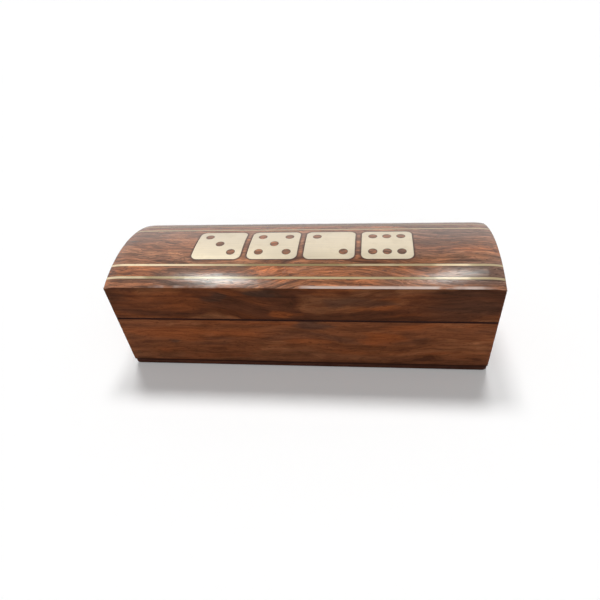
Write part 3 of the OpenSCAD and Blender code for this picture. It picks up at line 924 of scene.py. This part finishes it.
class DICEBOX_OT_stage(bpy.types.Operator):
    """Set up the floor, the room, the lamps and the camera"""

    bl_idname = "dicebox.stage"
    bl_label = "Stage"

    def execute(self, context):
        scene = context.scene
        studio = scene.dicebox_studio
        scene.view_settings.view_transform = "Standard"
        self.add_floor(scene, studio)
        self.add_room(scene, studio)
        self.add_lamps(scene, studio)
        self.add_camera(scene, studio)
        return {"FINISHED"}

    def add_floor(self, scene, studio):
        bm = bmesh.new()
        bmesh.ops.create_grid(bm, x_segments=1, y_segments=1, size=FLOOR_REACH)
        mesh = bpy.data.meshes.new("floor")
        bm.to_mesh(mesh)
        bm.free()
        f = Finish("floor")
        sight = self.seen_directly(f)
        lift = f.node("Emission", {"Color": (1, 1, 1, 1), "Strength": studio.floor_lift}).outputs[0]
        card = f.node("BsdfDiffuse", {"Color": opaque(studio.floor_colour)}).outputs[0]
        lifted = f.node("AddShader", {0: card, 1: lift}).outputs[0]
        shown = f.node("MixShader", {0: sight, 1: card, 2: lifted}).outputs[0]
        dim = f.node("BsdfDiffuse", {"Color": (0, 0, 0, 1)}).outputs[0]
        in_gloss = f.math("MULTIPLY", f.node("LightPath").outputs["Is Glossy Ray"], 1 - studio.horizon)
        shown = f.node("MixShader", {0: in_gloss, 1: shown, 2: dim}).outputs[0]
        f.node("OutputMaterial", {"Surface": shown})
        mesh.materials.append(f.material)
        floor = bpy.data.objects.new("floor", mesh)
        scene.collection.objects.link(floor)

    def seen_directly(self, f):
        """1 for what is seen, straight, in gloss or through glass, and 0 for what only lights"""
        path = f.node("LightPath").outputs
        either = f.math("MAXIMUM", path["Is Camera Ray"], path["Is Glossy Ray"])
        return f.math("MAXIMUM", either, path["Is Transmission Ray"])

    def add_room(self, scene, studio):
        """White room with a dim belt below its ceiling, seen in gloss, that lights softly from all round"""
        world = bpy.data.worlds.new("room")
        f = Nodes(world)
        path = f.node("LightPath").outputs
        at = f.node("SeparateXYZ", {0: f.node("TexCoord").outputs["Generated"]}).outputs
        aside = f.math("ABSOLUTE", f.math("SUBTRACT", at["X"], BELT_MIDDLE))
        belt_level = f.between(aside, *BELT_SIDES, studio.belt, studio.belt_ends)
        low_walls = f.between(at["Z"], *WALL_FOOT, studio.horizon, 1.0)
        walls = f.math("MULTIPLY", low_walls, f.between(at["Z"], *BELT_START, 1.0, 0.0))
        ceiling = f.between(at["Z"], *CEILING_START)
        belt = f.math("SUBTRACT", f.between(at["Z"], *BELT_START), ceiling)
        in_gloss = f.math("ADD", f.math("ADD", walls, f.math("MULTIPLY", ceiling, studio.ceiling)),
                          f.math("MULTIPLY", belt, belt_level))
        seen = f.math("MAXIMUM", path["Is Camera Ray"], path["Is Transmission Ray"])
        gloss = f.math("MULTIPLY", path["Is Glossy Ray"], in_gloss)
        any_sight = f.math("MAXIMUM", seen, path["Is Glossy Ray"])
        soft = f.math("MULTIPLY", f.math("SUBTRACT", 1.0, any_sight), studio.sky)
        level = f.math("ADD", f.math("MAXIMUM", seen, gloss), soft)
        back = f.node("Background", {"Color": (1, 1, 1, 1), "Strength": level})
        f.node("OutputWorld", {"Surface": back.outputs[0]})
        scene.world = world

    def place_lamp(self, scene, name, data, direction, target=(0, 0, 0), distance=1.0, **shows):
        """A lamp that shines on the target from that direction. The rest says what it shows in"""
        towards = Vector(direction).normalized()
        lamp = bpy.data.objects.new(name, data)
        lamp.location = Vector(target) + towards * distance
        lamp.rotation_euler = towards.to_track_quat("Z", "Y").to_euler()
        for setting, value in shows.items():
            setattr(lamp, setting, value)
        scene.collection.objects.link(lamp)

    def add_soft_sun(self, scene, name, direction, spread, level):
        """Even light from one side of the room, which casts a soft shadow and leaves no spot in gloss"""
        data = bpy.data.lights.new(name, "SUN")
        data.angle = math.radians(spread)
        data.energy = level * math.pi
        self.place_lamp(scene, name, data, direction, visible_glossy=False)

    def add_glint(self, scene, glint, level):
        """A rectangular lamp that shows only in gloss, at its target"""
        data = bpy.data.lights.new(glint.name, "AREA")
        data.color = GLINT_COLOUR
        data.shape = "RECTANGLE"
        data.size, data.size_y = glint.size
        data.energy = level * glint.share * math.pi ** 2 * GLINT_DISTANCE ** 2
        self.place_lamp(scene, glint.name, data, glint.towards, glint.target, GLINT_DISTANCE,
                        visible_diffuse=False)

    def add_lamps(self, scene, studio):
        for name, direction in KEY_DIRECTIONS.items():
            self.add_soft_sun(scene, name, direction, KEY_SPREAD, studio.key / len(KEY_DIRECTIONS))
        self.add_soft_sun(scene, "fill", FILL_DIRECTION, FILL_SPREAD, studio.fill)
        for glint in GLINTS:
            self.add_glint(scene, glint, studio.glint)
        self.add_glint(scene, EDGE_GLINT, studio.edge_glint)

    def add_camera(self, scene, studio):
        data = bpy.data.cameras.new("camera")
        data.sensor_width = SENSOR_WIDTH
        data.lens = studio.lens
        data.shift_x, data.shift_y = studio.shift
        data.clip_start, data.clip_end = CLIPS
        camera = bpy.data.objects.new("camera", data)
        camera.location = studio.camera_place
        camera.rotation_euler = studio.camera_turn
        scene.collection.objects.link(camera)
        scene.camera = camera


class DICEBOX_PT_finishes(bpy.types.Panel):
    """The dice box's finishes and stage"""

    bl_idname = "DICEBOX_PT_finishes"
    bl_label = "Dice box"
    bl_space_type = "VIEW_3D"
    bl_region_type = "UI"
    bl_category = "Dice box"

    def draw(self, context):
        for operator in OPERATORS:
            self.layout.operator(operator.bl_idname)
        for name in SETTINGS:
            box = self.layout.box()
            settings = getattr(context.scene, name)
            for prop in settings.bl_rna.properties:
                if not prop.is_readonly and prop.identifier != "name":
                    box.prop(settings, prop.identifier)


OPERATORS = (
    DICEBOX_OT_stage,
    DICEBOX_OT_tray_boards,
    DICEBOX_OT_base_board,
    DICEBOX_OT_lid_boards,
    DICEBOX_OT_domed_top,
    DICEBOX_OT_brass_lines,
    DICEBOX_OT_tiles,
    DICEBOX_OT_hinges,
    DICEBOX_OT_glue,
)
SETTINGS = {
    "dicebox_wood": RosewoodSettings,
    "dicebox_brass": BrassSettings,
    "dicebox_glue": GlueSettings,
    "dicebox_dome": DomeSettings,
    "dicebox_studio": StudioSettings,
}


def register():
    for name, group in SETTINGS.items():
        bpy.utils.register_class(group)
        setattr(bpy.types.Scene, name, PointerProperty(type=group))
    for operator in OPERATORS:
        bpy.utils.register_class(operator)
    bpy.utils.register_class(DICEBOX_PT_finishes)


def unregister():
    bpy.utils.unregister_class(DICEBOX_PT_finishes)
    for operator in reversed(OPERATORS):
        bpy.utils.unregister_class(operator)
    for name, group in SETTINGS.items():
        delattr(bpy.types.Scene, name)
        bpy.utils.unregister_class(group)


def main():
    register()
    bpy.ops.dicebox.stage()
    bpy.ops.dicebox.tray_boards()
    bpy.ops.dicebox.base_board()
    bpy.ops.dicebox.lid_boards()
    bpy.ops.dicebox.domed_top()
    bpy.ops.dicebox.brass_lines()
    bpy.ops.dicebox.tiles()
    bpy.ops.dicebox.hinges()
    bpy.ops.dicebox.glue()


if __name__ == "__main__":
    main()
